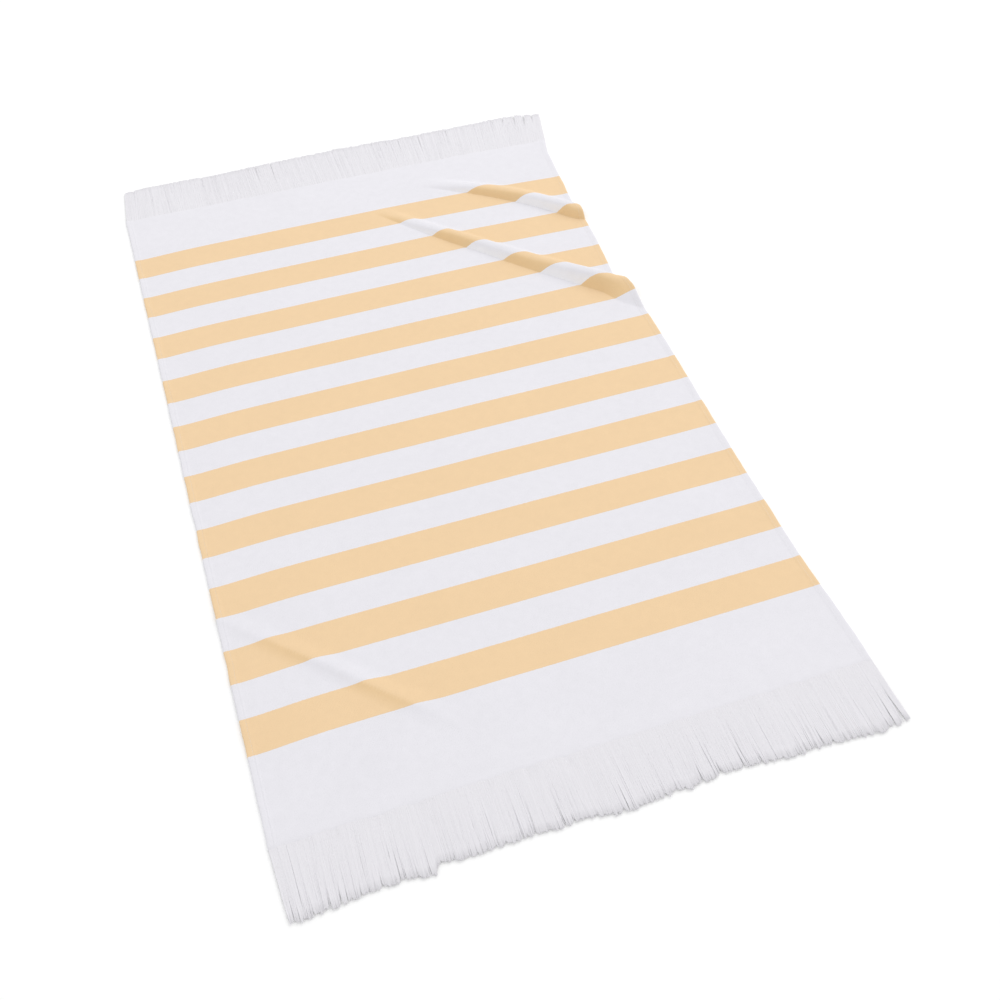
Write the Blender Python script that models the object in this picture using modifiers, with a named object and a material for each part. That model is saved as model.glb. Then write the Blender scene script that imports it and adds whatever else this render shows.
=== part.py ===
"""Beach towel: a striped cotton cloth with a fringe at each short end, lying flat with three soft folds.

Metres, +Z up. X runs across the width, +Y towards the far end, and the origin is on the ground under
the middle of the towel.
"""

import math
import random
from collections import namedtuple

import bmesh
import bpy

# Driving sizes
WIDTH = 1.0
CLOTH_LENGTH = 1.6
FRINGE_LENGTH = 0.11
CLOTH_THICKNESS = 0.003
HEM_THICKNESS = 0.004
HEM_WIDTH = 0.012
HEM_STEP = 0.003
FRINGE_THICKNESS = 0.0025
GAP = 0.0003

# The cotton of the cloth and of its loose yarn
COTTON_WHITE = (0.86, 0.85, 0.88, 1.0)
COTTON_FRINGE = (0.84, 0.83, 0.86, 1.0)
COTTON_ROUGHNESS = 0.95

# Each fold is a ridge between two points of the flat cloth, and "bow" is how far its crest bends off the
# straight line between them. "near" and "far" are how far it reaches to the two sides of its crest at its
# end, and "start" is the share of that reach at its start. Towards the hem its near foot turns to reach
# "near_end". "foot" and "ease" shape the near side: a high foot power makes it steep at its foot, and a high
# ease makes it run out gently. At the hem the power has become "foot_end". The heights are at the shares of
# its length in HEIGHT_AT. A ridge uses up cloth, so the cloth past it is drawn in, by "draw" from the middle
# of the fold and by "draw_end" at its end. At the hem this starts nearer the crest, by the share DRAW_LATE.
Fold = namedtuple(
    "Fold",
    "name x0 y0 x1 y1 bow near near_end far foot foot_end ease start low middle high hem last draw draw_end",
)
FOLDS = (
    Fold(
        "main", 0.055, 0.651, 0.546, 0.173, -0.017, 0.050, 0.068, 0.064, 3, 1.9, 1.3, 0.32,
        0.0140, 0.0160, 0.0262, 0.0205, 0.0205, 0.014, 0.035,
    ),
    Fold(
        "side", 0.178, 0.717, 0.534, 0.466, 0.021, 0.030, 0.021, 0.048, 3, 3, 1.3, 0.57,
        0.0118, 0.0162, 0.0204, 0.0155, 0.0155, 0.001, 0.0135,
    ),
    Fold(
        "corner", -0.560, -0.305, -0.160, -0.701, -0.001, 0.028, 0.028, 0.044, 1, 1, 2, 0.80,
        0.0032, 0.0056, 0.0044, 0.0018, 0.0, 0.002, 0.0036,
    ),
)
HEIGHT_AT = (0.0, 0.3, 0.6, 0.82, 0.92, 1.0)
BACK_POWER = 1.5
TURN_FROM = 0.84
TURN_BY = 0.94
DRAW_BY = 0.5
DRAW_END_FROM = 0.4
DRAW_LATE = 0.6

# How far the two sides stray from straight lines, at stations along the length. The right-hand side's stray
# fades out across the cloth, and is gone at STRAY_FROM, and the left-hand side's at LEFT_STRAY_FROM.
Station = namedtuple("Station", "at value")
RIGHT_SIDE = (
    Station(-0.91, 0.007),
    Station(-0.75, 0.007),
    Station(-0.55, 0.000),
    Station(-0.30, 0.001),
    Station(0.00, 0.0078),
    Station(0.12, 0.0082),
    Station(0.20, 0.0058),
    Station(0.40, 0.0170),
    Station(0.55, 0.0172),
    Station(0.75, 0.0245),
    Station(0.91, 0.056),
)
LEFT_SIDE = (
    Station(-0.91, 0.000),
    Station(-0.80, 0.0055),
    Station(-0.50, 0.0045),
    Station(0.00, 0.003),
    Station(0.40, 0.002),
    Station(0.80, 0.000),
)
STRAY_FROM = -0.1
LEFT_STRAY_FROM = -0.25

# The mesh of the cloth: squares of this size, halved this many times where a fold runs, and once more at its
# steep foot. A square counts as in a fold if its edge comes within a share of its own length of it.
SQUARE = 0.1
HALVINGS = 3
FOOT_HALVINGS = 1
EDGE_SHARE = 0.8
FOLD_ENDS = 0.05
FOOT_FROM = 0.6

# Fringe: tufts of uneven width, parted by narrow slits that open towards the tips
FRINGE_SEED = 7
HEADER = 0.014
TUFT_WIDTH = (0.014, 0.027)
SLIT = 0.0014
SLIT_TIP = (0.0016, 0.0045)
SLIT_LEAN = 0.003
LEFT_LEAN = 0.011
TIP_STRAY = 0.006
TIP_ROUND = (0.002, 0.005)
TIP_PEAK = (0.3, 0.7)
LEFT_LEAN_REACH = 0.1

# How much longer than FRINGE_LENGTH each fringe is, at stations across the width
FAR_REACH = (
    Station(-0.50, 0.004),
    Station(-0.43, 0.008),
    Station(-0.25, 0.005),
    Station(-0.10, 0.011),
    Station(0.02, 0.014),
    Station(0.10, 0.013),
    Station(0.14, 0.009),
    Station(0.44, 0.012),
    Station(0.50, 0.003),
)
NEAR_REACH = (
    Station(-0.500, 0.0080),
    Station(-0.470, 0.0110),
    Station(-0.449, 0.0045),
    Station(-0.400, 0.0030),
    Station(-0.385, 0.0030),
    Station(-0.365, -0.0010),
    Station(-0.325, -0.0035),
    Station(-0.304, -0.0020),
    Station(-0.283, 0.0060),
    Station(-0.275, 0.0060),
    Station(-0.265, -0.0080),
    Station(-0.240, -0.0035),
    Station(-0.218, -0.0060),
    Station(-0.197, -0.0030),
    Station(-0.170, -0.0060),
    Station(-0.130, -0.0060),
    Station(-0.110, -0.0040),
    Station(-0.030, -0.0050),
    Station(0.02, 0.006),
    Station(0.05, 0.002),
    Station(0.12, -0.002),
    Station(0.19, -0.007),
    Station(0.30, 0.002),
    Station(0.37, 0.001),
    Station(0.45, 0.012),
    Station(0.50, 0.004),
)


def smooth_step(share):
    share = min(max(share, 0.0), 1.0)
    return share * share * (3.0 - 2.0 * share)


def between(place, stations):
    """Straight-line reading of a table of stations."""
    if place <= stations[0].at:
        return stations[0].value
    for low, high in zip(stations, stations[1:]):
        if place <= high.at:
            return low.value + (high.value - low.value) * (place - low.at) / (high.at - low.at)
    return stations[-1].value


def fold_place(fold, x, y):
    """How far along the fold a point of the flat cloth is, as a share, and how far across, in metres."""
    run_x = fold.x1 - fold.x0
    run_y = fold.y1 - fold.y0
    length = math.hypot(run_x, run_y)
    along = ((x - fold.x0) * run_x + (y - fold.y0) * run_y) / length**2
    across = ((y - fold.y0) * run_x - (x - fold.x0) * run_y) / length
    across -= fold.bow * math.sin(math.pi * min(max(along, 0.0), 1.0))
    return along, across


def turned_share(along):
    """How far the near foot has turned into its shape at the hem, at this share of the fold's length."""
    return smooth_step((along - TURN_FROM) / (TURN_BY - TURN_FROM))


def fold_reach(fold, along):
    """How far the ridge reaches to its near and far side at this share of its length."""
    grown = fold.start + (1.0 - fold.start) * min(max(along, 0.0), 1.0)
    turned = turned_share(along)
    return (fold.near + (fold.near_end - fold.near) * turned) * grown, fold.far * grown


def fold_shift(fold, x, y):
    """The move that one fold gives a point of the flat cloth: sideways towards the ridge, and up."""
    along, across = fold_place(fold, x, y)
    near, far = fold_reach(fold, along)
    heights = (0.0, fold.low, fold.middle, fold.high, fold.hem, fold.last)
    crest = between(along, [Station(*row) for row in zip(HEIGHT_AT, heights)])
    power = fold.foot + (fold.foot_end - fold.foot) * turned_share(along)
    if across < 0:
        rise = crest * (1.0 - min(-across / near, 1.0) ** power) ** fold.ease
    else:
        rise = crest * (0.5 + 0.5 * math.cos(math.pi * min(across / far, 1.0))) ** BACK_POWER
    drawn = fold.draw * smooth_step(along / DRAW_BY)
    drawn += (fold.draw_end - fold.draw) * smooth_step((along - DRAW_END_FROM) / (1.0 - DRAW_END_FROM))
    drawn_near = near * (1.0 - DRAW_LATE * turned_share(along))
    drawn *= smooth_step((across + drawn_near) / (drawn_near + far))
    run = math.hypot(fold.x1 - fold.x0, fold.y1 - fold.y0)
    normal_x = -(fold.y1 - fold.y0) / run
    normal_y = (fold.x1 - fold.x0) / run
    return -normal_x * drawn, -normal_y * drawn, rise


def lay(x, y):
    """Where a point of the flat cloth comes to lie."""
    place = [x, y, 0.0]
    for fold in FOLDS:
        for axis, shift in enumerate(fold_shift(fold, x, y)):
            place[axis] += shift
    place[0] += between(y, RIGHT_SIDE) * smooth_step((x - STRAY_FROM) / (WIDTH / 2 - STRAY_FROM))
    place[0] += between(y, LEFT_SIDE) * smooth_step((LEFT_STRAY_FROM - x) / (WIDTH / 2 + LEFT_STRAY_FROM))
    return place


def cotton(name, colour):
    material = bpy.data.materials.new(name)
    material.use_nodes = True
    shader = material.node_tree.nodes["Principled BSDF"]
    shader.inputs["Base Color"].default_value = colour
    shader.inputs["Roughness"].default_value = COTTON_ROUGHNESS
    shader.inputs["Metallic"].default_value = 0.0
    return material


def near_a_fold(edge, foot_only):
    """True if the edge comes within reach of a fold, or of its foot, so that its squares are halved."""
    middle = (edge.verts[0].co + edge.verts[1].co) / 2
    margin = edge.calc_length() * EDGE_SHARE
    for fold in FOLDS:
        along, across = fold_place(fold, middle.x, middle.y)
        near, far = fold_reach(fold, along)
        high = -FOOT_FROM * near if foot_only else far
        if -FOLD_ENDS < along < 1.0 + FOLD_ENDS and -near - margin < across < high + margin:
            return True
    return False


def flat_sheet():
    """The flat cloth as squares, finer at the folds, with a line of cuts along each hem."""
    sheet = bmesh.new()
    bmesh.ops.create_grid(
        sheet,
        x_segments=round(WIDTH / SQUARE),
        y_segments=round(CLOTH_LENGTH / SQUARE),
        size=0.5,
    )
    bmesh.ops.scale(sheet, vec=(WIDTH, CLOTH_LENGTH, 1.0), verts=sheet.verts)
    for step in range(HALVINGS + FOOT_HALVINGS):
        close = [edge for edge in sheet.edges if near_a_fold(edge, step >= HALVINGS)]
        bmesh.ops.subdivide_edges(sheet, edges=close, cuts=1, use_grid_fill=True)
    for inset in (HEM_WIDTH, HEM_WIDTH + HEM_STEP):
        for side in (-1, 1):
            bmesh.ops.bisect_plane(
                sheet,
                geom=[*sheet.verts, *sheet.edges, *sheet.faces],
                plane_co=(side * (WIDTH / 2 - inset), 0.0, 0.0),
                plane_no=(1.0, 0.0, 0.0),
            )
    return sheet


def cloth(name, sheet):
    """The cloth: the sheet, laid in its folds and given its thickness."""
    mesh = bpy.data.meshes.new(name)
    hem = [abs(vert.co.x) > WIDTH / 2 - HEM_WIDTH - HEM_STEP / 2 for vert in sheet.verts]
    for vert in sheet.verts:
        vert.co = lay(vert.co.x, vert.co.y)
    bmesh.ops.triangulate(sheet, faces=sheet.faces, quad_method="SHORT_EDGE")
    sheet.to_mesh(mesh)
    sheet.free()
    towel = bpy.data.objects.new(name, mesh)
    towel.parent = middle
    parts.objects.link(towel)
    group = towel.vertex_groups.new(name="hem")
    group.add([index for index, inside in enumerate(hem) if inside], 1.0, "REPLACE")
    wall = towel.modifiers.new("thickness", "SOLIDIFY")
    wall.thickness = HEM_THICKNESS
    wall.offset = 1.0
    wall.vertex_group = group.name
    wall.thickness_vertex_group = CLOTH_THICKNESS / HEM_THICKNESS
    mesh.materials.append(cotton(name + "_cotton", COTTON_WHITE))
    return towel


def comb_outline(end, places):
    """The outline of one fringe: along the cloth's edge, then back along the tufts. end is 1 or -1."""
    chance = random.Random(FRINGE_SEED + end)
    edge = CLOTH_LENGTH / 2 + GAP
    reach = FAR_REACH if end > 0 else NEAR_REACH
    slits = [(-WIDTH / 2, -WIDTH / 2 + LEFT_LEAN, 0.0, 0.0)]
    x = -WIDTH / 2 + chance.uniform(*TUFT_WIDTH)
    while x < WIDTH / 2 - TUFT_WIDTH[0]:
        lean = chance.uniform(-SLIT_LEAN, SLIT_LEAN)
        lean += LEFT_LEAN * smooth_step(1.0 - (x + WIDTH / 2) / LEFT_LEAN_REACH)
        slits.append((x, x + lean, SLIT, chance.uniform(*SLIT_TIP)))
        x += chance.uniform(*TUFT_WIDTH)
    slits.append((WIDTH / 2, WIDTH / 2, 0.0, 0.0))
    outline = [(place, edge) for place in places]
    for right, left in zip(reversed(slits), reversed(slits[:-1])):
        tip = CLOTH_LENGTH / 2 + FRINGE_LENGTH + between((right[0] + left[0]) / 2, reach)
        tip -= chance.uniform(0.0, TIP_STRAY)
        low = tip - chance.uniform(*TIP_ROUND)
        right_x = right[1] - right[3] / 2
        left_x = left[1] + left[3] / 2
        outline.append((right_x, low))
        outline.append((right_x + (left_x - right_x) * chance.uniform(*TIP_PEAK), tip))
        outline.append((left_x, low - TIP_ROUND[0] / 2))
        if left is not slits[0]:
            outline.append((left[0] + left[2] / 2, edge + HEADER))
            outline.append((left[0] - left[2] / 2, edge + HEADER))
    return [(x, end * y) for x, y in outline]


def fringe(name, end, places):
    """One fringe as a flat comb, extruded to its thickness and resting on the ground."""
    outline = [lay(x, y) for x, y in comb_outline(end, places)]
    curve = bpy.data.curves.new(name, "CURVE")
    curve.dimensions = "2D"
    curve.fill_mode = "BOTH"
    curve.extrude = FRINGE_THICKNESS / 2
    spline = curve.splines.new("POLY")
    spline.points.add(len(outline) - 1)
    for point, (x, y, _) in zip(spline.points, outline):
        point.co = (x, y, 0.0, 1.0)
    spline.use_cyclic_u = True
    comb = bpy.data.objects.new(name, curve)
    comb.location.z = FRINGE_THICKNESS / 2
    comb.parent = middle
    curve.materials.append(cotton(name + "_cotton", COTTON_FRINGE))
    parts.objects.link(comb)
    return comb


for old in list(bpy.data.objects):
    bpy.data.objects.remove(old, do_unlink=True)
parts = bpy.data.collections.new("beach_towel")
bpy.context.scene.collection.children.link(parts)
# The far fringe spreads past the right-hand side, so the flat cloth's centre line isn't the towel's middle.
spread = lay(WIDTH / 2, CLOTH_LENGTH / 2 + FRINGE_LENGTH)[0] - WIDTH / 2
middle = bpy.data.objects.new("towel_middle", None)
middle.location.x = -spread / 2
parts.objects.link(middle)
flat = flat_sheet()
# A fringe's edge has its points where the cloth's has, so that the gap between them stays even.
far_places = sorted(vert.co.x for vert in flat.verts if vert.co.y > CLOTH_LENGTH / 2 - GAP)
near_places = sorted(vert.co.x for vert in flat.verts if vert.co.y < GAP - CLOTH_LENGTH / 2)
cloth("towel_cloth", flat)
fringe("fringe_far", 1, far_places)
fringe("fringe_near", -1, near_places)
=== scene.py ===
# %% [markdown]
# # A striped beach towel with a fringe at each end
#
# The real towel is one length of woven cotton. Its warp, the yarns that run lengthways, is white. Its weft
# changes from white to yellow and back ten times, which makes the stripes. The long sides are turned over
# and sewn as narrow hems. At the two short ends the weft stops, and the loose warp yarns are the fringe.
#
# This lesson lays the towel out on a pale floor, with the three soft folds of its solid. It goes from the
# camera and the light to the cloth, its finish, the fringe and the stitches. The frame below is the packed
# solid model. Everything here is in its metres, +Z up, +Y towards the far end.

# %% Load the solid model
import math
from collections import namedtuple

import bmesh
import bpy
import numpy as np
from mathutils import Matrix, Vector, noise


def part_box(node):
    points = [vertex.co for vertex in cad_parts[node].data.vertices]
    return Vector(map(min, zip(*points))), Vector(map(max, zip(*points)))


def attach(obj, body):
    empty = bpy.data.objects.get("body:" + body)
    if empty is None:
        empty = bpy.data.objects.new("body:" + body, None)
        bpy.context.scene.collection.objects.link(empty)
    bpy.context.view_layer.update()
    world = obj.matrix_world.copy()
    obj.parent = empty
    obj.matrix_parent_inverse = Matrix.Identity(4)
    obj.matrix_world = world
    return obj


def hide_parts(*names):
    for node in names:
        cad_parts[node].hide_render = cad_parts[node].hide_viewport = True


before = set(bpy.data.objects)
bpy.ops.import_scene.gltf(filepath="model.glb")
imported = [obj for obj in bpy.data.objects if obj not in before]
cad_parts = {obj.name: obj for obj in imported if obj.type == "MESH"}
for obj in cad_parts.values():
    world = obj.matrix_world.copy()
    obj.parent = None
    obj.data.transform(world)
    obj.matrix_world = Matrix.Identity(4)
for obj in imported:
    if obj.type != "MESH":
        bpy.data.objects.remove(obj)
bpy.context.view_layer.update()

# %% [markdown]
# ## Sizes that everything shares
#
# The cloth was cut 1.0 m wide and 1.6 m long before it was laid down, and each fringe adds 11 cm. The
# solid's box says where the cloth lies: a place on the flat cloth is counted from the cloth's middle, and
# one shift along X takes it into the frame.

# %% The flat cloth
WIDTH = 1.0
LENGTH = 1.6
FRINGE = 0.11
THICKNESS = 0.003
cloth_low, cloth_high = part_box("towel_cloth")
SHIFT = Vector((cloth_low.x + WIDTH / 2, 0.0, 0.0))
print(f"The cloth's solid is {cloth_high.x - cloth_low.x:.3f} m by {cloth_high.y - cloth_low.y:.3f} m")

# %% [markdown]
# ## The camera
#
# The towel is seen from above its near left corner, about 50 degrees down. A camera looks along its own
# -Z axis, so `to_track_quat` turns it towards a target, and a small roll sets the picture straight.

# %% Place the camera
CAMERA_AT = Vector((-0.3907, -1.5695, 1.6155)) + SHIFT
CAMERA_TARGET = Vector((0.0423, -0.2767, 0.0)) + SHIFT
CAMERA_ROLL = math.radians(-0.555)
CAMERA_LENS = 41.54
CAMERA_SENSOR = 36.0


def looking(place, target, roll=0.0):
    """The matrix of a camera or lamp at this place that looks at the target."""
    aim = (target - place).to_track_quat("-Z", "Y").to_matrix() @ Matrix.Rotation(roll, 3, "Z")
    return Matrix.Translation(place) @ aim.to_4x4()


def added(name, data):
    """A new object in the scene that holds this camera, lamp or mesh."""
    made = bpy.data.objects.new(name, data)
    bpy.context.scene.collection.objects.link(made)
    return made


camera = added("camera", bpy.data.cameras.new("camera"))
camera.data.lens = CAMERA_LENS
camera.data.sensor_width = CAMERA_SENSOR
camera.matrix_world = looking(CAMERA_AT, CAMERA_TARGET, CAMERA_ROLL)
bpy.context.scene.camera = camera
print(f"The camera is {(CAMERA_TARGET - CAMERA_AT).length:.2f} m from its target")

# %% [markdown]
# ## The studio
#
# White cotton needs soft light: a pale world lights it from all round, and one large panel far behind the
# right-hand corner gives the folds a light side and a dark side. It is so far off that the towel's near end
# is only a touch darker than its far end. The floor is pale and shines faintly itself, so it goes to white.
# The Standard view keeps the cloth's colours as they are, where the default one would grey the whites.

# %% Floor and light
FLOOR_SIZE = 14.0
FLOOR_DROP = 0.0006
FLOOR_WHITE = (0.97, 0.97, 0.97)
FLOOR_FINISH = {"Roughness": 0.9, "Emission Color": (1.0, 1.0, 1.0, 1.0), "Emission Strength": 0.04}
WORLD_STRENGTH = 0.90
PANEL_AT = Vector((5.4, 5.6, 5.85))
PANEL_SIZE = 5.5
PANEL_POWER = 249.0


def plain_material(name, colour, constants):
    """A Principled material with its constants set straight on the shader's sockets."""
    material = bpy.data.materials.new(name)
    material.use_nodes = True
    shader = material.node_tree.nodes["Principled BSDF"]
    shader.inputs["Base Color"].default_value = (*colour, 1.0)
    for socket, value in constants.items():
        shader.inputs[socket].default_value = value
    return material, shader


bpy.ops.mesh.primitive_plane_add(size=FLOOR_SIZE, location=(0.0, 0.0, -FLOOR_DROP))
floor = bpy.context.object
floor.name = "floor"
floor.data.materials.append(plain_material("floor_paint", FLOOR_WHITE, FLOOR_FINISH)[0])

world = bpy.data.worlds.new("studio")
world.use_nodes = True
sky = world.node_tree.nodes["Background"].inputs
sky["Color"].default_value = (1.0, 1.0, 1.0, 1.0)
sky["Strength"].default_value = WORLD_STRENGTH
bpy.context.scene.world = world

panel = added("panel", bpy.data.lights.new("panel", "AREA"))
panel.data.shape = "SQUARE"
panel.data.size = PANEL_SIZE
panel.data.energy = PANEL_POWER
panel.matrix_world = looking(PANEL_AT, Vector())
panel.visible_camera = False
bpy.context.scene.view_settings.view_transform = "Standard"
print("The studio has a floor, a world and", len(bpy.data.lights), "lamp")

# %% [markdown]
# ## How the cloth lies
#
# Nothing holds this towel up, so it lies flat but for three soft folds, where it slid over the floor as it
# was laid down. A cloth simulation could drop it, but it would choose its own folds. Here each fold is a
# row of a table: a ridge that rises from nothing at one place of the flat cloth and runs, a little bowed,
# to another. Five heights follow it, from `low` to `last`. It reaches `near` and `far` to its two sides, and
# begins at a share of that, `start`. It is steep at its near foot and gentle on its far side, but at the hem
# the near foot turns into another shape, `near_end` and `foot_end`. A ridge uses up cloth, so what lies past
# it is drawn in: by `draw` inside the cloth, by `draw_end` at the hem. The solid has the same folds.

# %% The folds
Fold = namedtuple(
    "Fold",
    "name x0 y0 x1 y1 bow near near_end far foot foot_end ease start "
    "low middle high hem last draw draw_end",
)
FOLDS = (
    Fold(
        "main", 0.055, 0.651, 0.546, 0.173, -0.017, 0.05, 0.068, 0.064, 3, 1.9, 1.3, 0.32,
        0.014, 0.016, 0.0262, 0.0205, 0.0205, 0.014, 0.035,
    ),
    Fold(
        "side", 0.178, 0.717, 0.534, 0.466, 0.021, 0.03, 0.021, 0.048, 3, 3, 1.3, 0.57,
        0.0118, 0.0162, 0.0204, 0.0155, 0.0155, 0.001, 0.0135,
    ),
    Fold(
        "corner", -0.56, -0.305, -0.16, -0.701, -0.001, 0.028, 0.028, 0.044, 1, 1, 2, 0.8,
        0.0032, 0.0056, 0.0044, 0.0018, 0.0, 0.002, 0.0036,
    ),
)
HEIGHT_AT = (0.0, 0.3, 0.6, 0.82, 0.92, 1.0)
BACK_POWER = 1.5
TURN_FROM = 0.84
TURN_BY = 0.94
DRAW_BY = 0.5
DRAW_END_FROM = 0.4
DRAW_LATE = 0.6


def smooth_step(share):
    share = np.clip(share, 0.0, 1.0)
    return share * share * (3.0 - 2.0 * share)


def fold_run(fold):
    """The way from the fold's start to its end, in X and Y, and its length."""
    run_x, run_y = fold.x1 - fold.x0, fold.y1 - fold.y0
    return run_x, run_y, math.hypot(run_x, run_y)


def fold_place(fold, x, y):
    """How far along the fold each place is, as a share, and how far across it, in metres."""
    run_x, run_y, length = fold_run(fold)
    along = ((x - fold.x0) * run_x + (y - fold.y0) * run_y) / length**2
    across = ((y - fold.y0) * run_x - (x - fold.x0) * run_y) / length
    return along, across - fold.bow * np.sin(math.pi * np.clip(along, 0.0, 1.0))


def turned_share(along):
    """How far the near foot has turned into its shape at the hem, at this share of the fold's length."""
    return smooth_step((along - TURN_FROM) / (TURN_BY - TURN_FROM))


def fold_reach(fold, along):
    """How far the ridge reaches to its near and far side at this share of its length."""
    grown = fold.start + (1.0 - fold.start) * np.clip(along, 0.0, 1.0)
    turned = turned_share(along)
    return (fold.near + (fold.near_end - fold.near) * turned) * grown, fold.far * grown


def fold_shift(fold, x, y):
    """The move that one fold gives each place: sideways towards its ridge, and up."""
    along, across = fold_place(fold, x, y)
    near, far = fold_reach(fold, along)
    power = fold.foot + (fold.foot_end - fold.foot) * turned_share(along)
    foot = (1.0 - np.clip(-across / near, 0.0, 1.0) ** power) ** fold.ease
    back = (0.5 + 0.5 * np.cos(math.pi * np.clip(across / far, 0.0, 1.0))) ** BACK_POWER
    heights = (0.0, fold.low, fold.middle, fold.high, fold.hem, fold.last)
    crest = np.interp(along, HEIGHT_AT, heights)
    drawn = fold.draw * smooth_step(along / DRAW_BY)
    drawn += (fold.draw_end - fold.draw) * smooth_step((along - DRAW_END_FROM) / (1.0 - DRAW_END_FROM))
    drawn_near = near * (1.0 - DRAW_LATE * turned_share(along))
    drawn *= smooth_step((across + drawn_near) / (drawn_near + far))
    run_x, run_y, length = fold_run(fold)
    return run_y / length * drawn, -run_x / length * drawn, crest * np.where(across < 0.0, foot, back)


for fold in FOLDS:
    top = 1000 * max(fold.high, fold.middle)
    print(f"The {fold.name} fold is {fold_run(fold)[2]:.2f} m long and {top:.0f} mm high")

# %% [markdown]
# Cloth is never quite flat or straight either. The right-hand side strays, the left-hand hem has crept
# towards the viewer, both hems wander by a millimetre, and the whole sheet has waves of that size. They only
# go up, because the floor is under them. Near the fringe, where the weave ends, it puckers a little more.
# Each noise has a salt, a third coordinate of its own, so no two look alike.

# %% Lay a place of the flat cloth
RIGHT_SIDE_AT = (-0.91, -0.75, -0.55, -0.3, 0.0, 0.12, 0.2, 0.4, 0.55, 0.75, 0.91)
RIGHT_SIDE_STRAY = (0.007, 0.007, 0.0, 0.001, 0.0078, 0.0082, 0.0058, 0.017, 0.0172, 0.0245, 0.056)
LEFT_SIDE_AT = (-0.91, -0.8, -0.5, 0.0, 0.4, 0.8)
LEFT_SIDE_STRAY = (0.0, 0.0055, 0.0045, 0.003, 0.002, 0.0)
STRAY_FROM = -0.1
LEFT_STRAY_FROM = -0.25
HEM_CREEP = 0.0055
HEM_CREEP_REACH = 0.09
CREEP_FADE = 0.15
HEM_WANDER = 0.0011
HEM_WANDER_SIZE = 0.030
HEM_WANDER_REACH = 0.06
HEM_WANDER_SALT = 5.7
WAVE = 0.0012
WAVE_SIZE = 0.16
WAVE_SALT = 3.1
PUCKER = 0.0016
PUCKER_SIZE = 0.035
PUCKER_LENGTH = 0.12
PUCKER_REACH = 0.06
PUCKER_SALT = 8.4


def soft_noise(x, y, size, salt):
    """Smooth noise between -1 and 1, with bumps of about this size."""
    return np.array([noise.noise((a / size, b / size, salt)) for a, b in zip(x, y)])


def lay(x, y):
    """Where places of the flat cloth come to lie, in the frame. The cloth's underside is there."""
    place = np.stack([x, y, np.zeros(len(x))])
    for fold in FOLDS:
        place += fold_shift(fold, x, y)
    fading = smooth_step((x - STRAY_FROM) / (WIDTH / 2 - STRAY_FROM))
    place[0] += np.interp(y, RIGHT_SIDE_AT, RIGHT_SIDE_STRAY) * fading
    fading = smooth_step((LEFT_STRAY_FROM - x) / (WIDTH / 2 + LEFT_STRAY_FROM))
    place[0] += np.interp(y, LEFT_SIDE_AT, LEFT_SIDE_STRAY) * fading
    to_end = LENGTH / 2 - np.abs(y)
    creep = np.exp(-(((x + WIDTH / 2) / HEM_CREEP_REACH) ** 2)) * smooth_step(to_end / CREEP_FADE)
    place[1] -= HEM_CREEP * creep
    beside = smooth_step(1.0 - (WIDTH / 2 - np.abs(x)) / HEM_WANDER_REACH)
    wander = soft_noise(np.sign(x) * HEM_WANDER_REACH, y, HEM_WANDER_SIZE, HEM_WANDER_SALT)
    place[0] += HEM_WANDER * wander * beside
    waves = np.maximum(soft_noise(x, y, WAVE_SIZE, WAVE_SALT), 0.0)
    place[2] += WAVE * waves * smooth_step(to_end / WAVE_SIZE)
    near_end = smooth_step(1.0 - np.abs(to_end) / PUCKER_REACH)
    ridges = soft_noise(x / PUCKER_SIZE * PUCKER_LENGTH, y, PUCKER_LENGTH, PUCKER_SALT)
    place[2] += PUCKER * np.maximum(ridges, 0.0) * near_end
    return place.T + np.array(SHIFT)


corner = lay(np.array([WIDTH / 2]), np.array([LENGTH / 2]))[0]
print("The far right corner of the cloth lies at", np.round(corner, 3))

# %% [markdown]
# ## The cloth
#
# The cloth is a grid. Its columns crowd together at the hems, where the thickness changes within a
# millimetre. Where a fold runs, its squares are halved, and halved again at the steep foot, as a crease
# needs finer squares than flat cloth does. Solidify gives it thickness: it grows up from the underside,
# which lies on the floor. The vertex group holds each place's share of the hem's thickness. So the edge is
# rounded, the hem is thicker than the cloth, and a shallow groove runs where its seam pulls it in.

# %% Shape of the hem
HEM_THICKNESS = 0.004
HEM_WIDTH = 0.0125
HEM_STEP = 0.003
HEM_SEAM = 0.0100
EDGE_ROUND = 0.0024
EDGE_THIN = 0.3
SEAM_DIP = 0.14
SEAM_WIDTH = 0.0013
HEM_INSETS = (0.0, 0.0005, 0.0013, 0.0024, 0.005, 0.0076, 0.0089, 0.01, 0.0111, 0.0125, 0.014, 0.0165)
END_INSETS = (0.0, 0.0012, 0.0026, 0.0042, 0.006, 0.008)
END_THINNING = 0.42
GRID_STEP = 0.0088


def stations(half, insets):
    """Places from -half to half, close together near both edges and evenly spread between."""
    edge = [half - inset for inset in insets]
    count = round(2 * edge[-1] / GRID_STEP)
    inner = np.linspace(-edge[-1], edge[-1], count + 1)[1:-1]
    return np.array([-place for place in edge] + list(inner) + edge[::-1])


def thickness_share(x, y):
    """The cloth's thickness at each place, as a share of HEM_THICKNESS."""
    inset = WIDTH / 2 - np.abs(x)
    hem = 1.0 - smooth_step((inset - HEM_WIDTH + HEM_STEP / 2) / HEM_STEP)
    share = THICKNESS / HEM_THICKNESS + (1.0 - THICKNESS / HEM_THICKNESS) * hem
    share -= SEAM_DIP * np.exp(-(((inset - HEM_SEAM) / SEAM_WIDTH) ** 2))
    side = np.clip(1.0 - inset / EDGE_ROUND, 0.0, 1.0)
    end = np.clip(1.0 - (LENGTH / 2 - np.abs(y)) / END_INSETS[-1], 0.0, 1.0)
    rounded = EDGE_THIN + (1.0 - EDGE_THIN) * np.sqrt(1.0 - side**2)
    return share * rounded * (1.0 - END_THINNING * end**2)


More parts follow.
